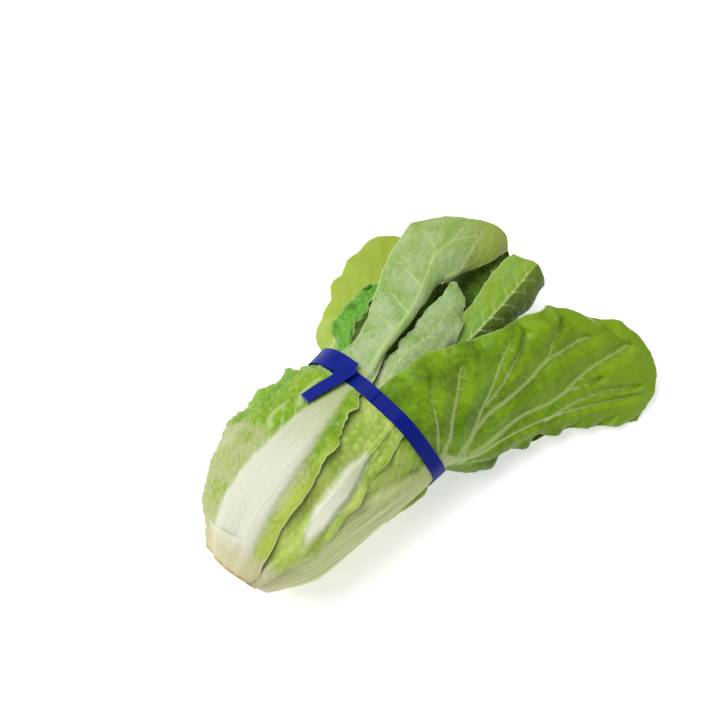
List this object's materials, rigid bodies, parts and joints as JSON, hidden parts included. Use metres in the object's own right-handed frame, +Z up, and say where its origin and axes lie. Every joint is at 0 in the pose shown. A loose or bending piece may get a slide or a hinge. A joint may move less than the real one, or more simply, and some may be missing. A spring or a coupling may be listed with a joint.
{
  "type": "head of bok choy",
  "caption": "Leafy vegetable head lying on its side: thick pale stalks packed round a dense heart, crinkled green blades spreading past a flat tape tied round the middle.",
  "frame": {"origin": "the small flat spot under the belly that the head rests on", "axes": "+X along the head towards the leaf tips, +Y to the side of the spreading yellow leaf, +Z up, away from the surface it lies on"},
  "size_m": [0.3153, 0.2104, 0.1041],
  "materials": {
    "cut_stem": "dry cut plant stem, pale brown",
    "inner_leaf": "dense crinkled leaf, deep green",
    "pale_leaf": "thin leaf with a silvery sheen",
    "green_leaf": "fresh green blade on a pale stalk, satin",
    "yellow_leaf": "thin yellow-green leaf on a pale stalk",
    "stalk_leaf": "smooth white stalk with crinkled green edges",
    "cut_stalk": "short yellowed stub of a trimmed stalk",
    "tape": "flat blue tape, slightly glossy"
  },
  "bodies": {
    "root": {"stem_butt": "cut_stem", "heart": "inner_leaf", "leaf_pointed": "pale_leaf", "leaf_folded": "green_leaf", "leaf_left": "yellow_leaf", "leaf_curled": "inner_leaf", "leaf_right": "green_leaf", "leaf_under_left": "green_leaf", "leaf_under_right": "green_leaf", "leaf_under": "green_leaf", "leaf_short": "stalk_leaf", "leaf_front": "stalk_leaf", "leaf_stub": "cut_stalk", "tape": "tape"}
  },
  "joints": []
}
